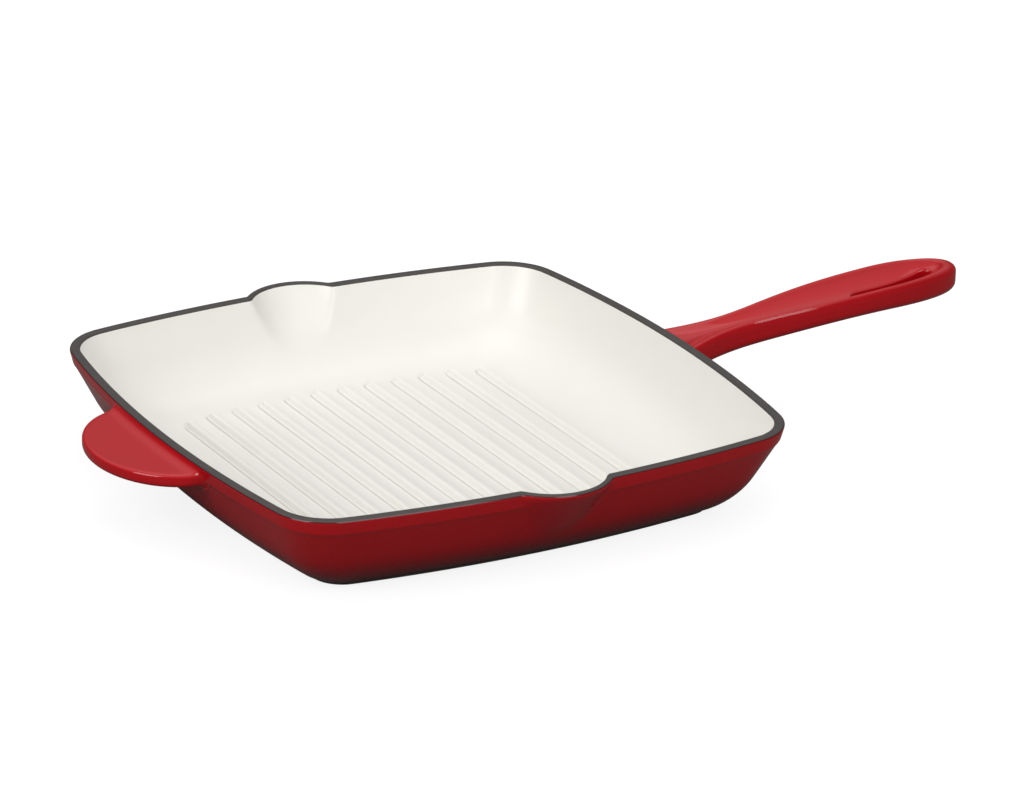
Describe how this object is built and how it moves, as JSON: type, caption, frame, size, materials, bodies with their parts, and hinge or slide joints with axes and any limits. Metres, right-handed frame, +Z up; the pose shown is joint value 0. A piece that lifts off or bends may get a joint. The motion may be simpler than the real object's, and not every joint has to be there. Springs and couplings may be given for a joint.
{
  "type": "grill pan",
  "caption": "Square enamelled cast-iron grill pan with raised cooking ribs, side pouring spouts, a long slotted handle and a helper tab.",
  "frame": {"origin": "middle of the foot pad's underside, on the surface the pan stands on", "axes": "+X along the long handle, +Y towards one of the two pouring spouts, +Z up out of the pan's mouth"},
  "size_m": [0.4373, 0.2788, 0.0551],
  "materials": {
    "grey_iron": "as cast",
    "cream_enamel": "glossy vitreous enamel",
    "red_enamel": "glossy vitreous enamel",
    "ground_coat": "matt vitreous ground coat"
  },
  "bodies": {
    "root": {"iron_casting": "grey_iron", "interior_enamel": "cream_enamel", "exterior_enamel": "red_enamel", "rim_coat": "ground_coat", "foot_coat": "ground_coat"}
  },
  "joints": []
}
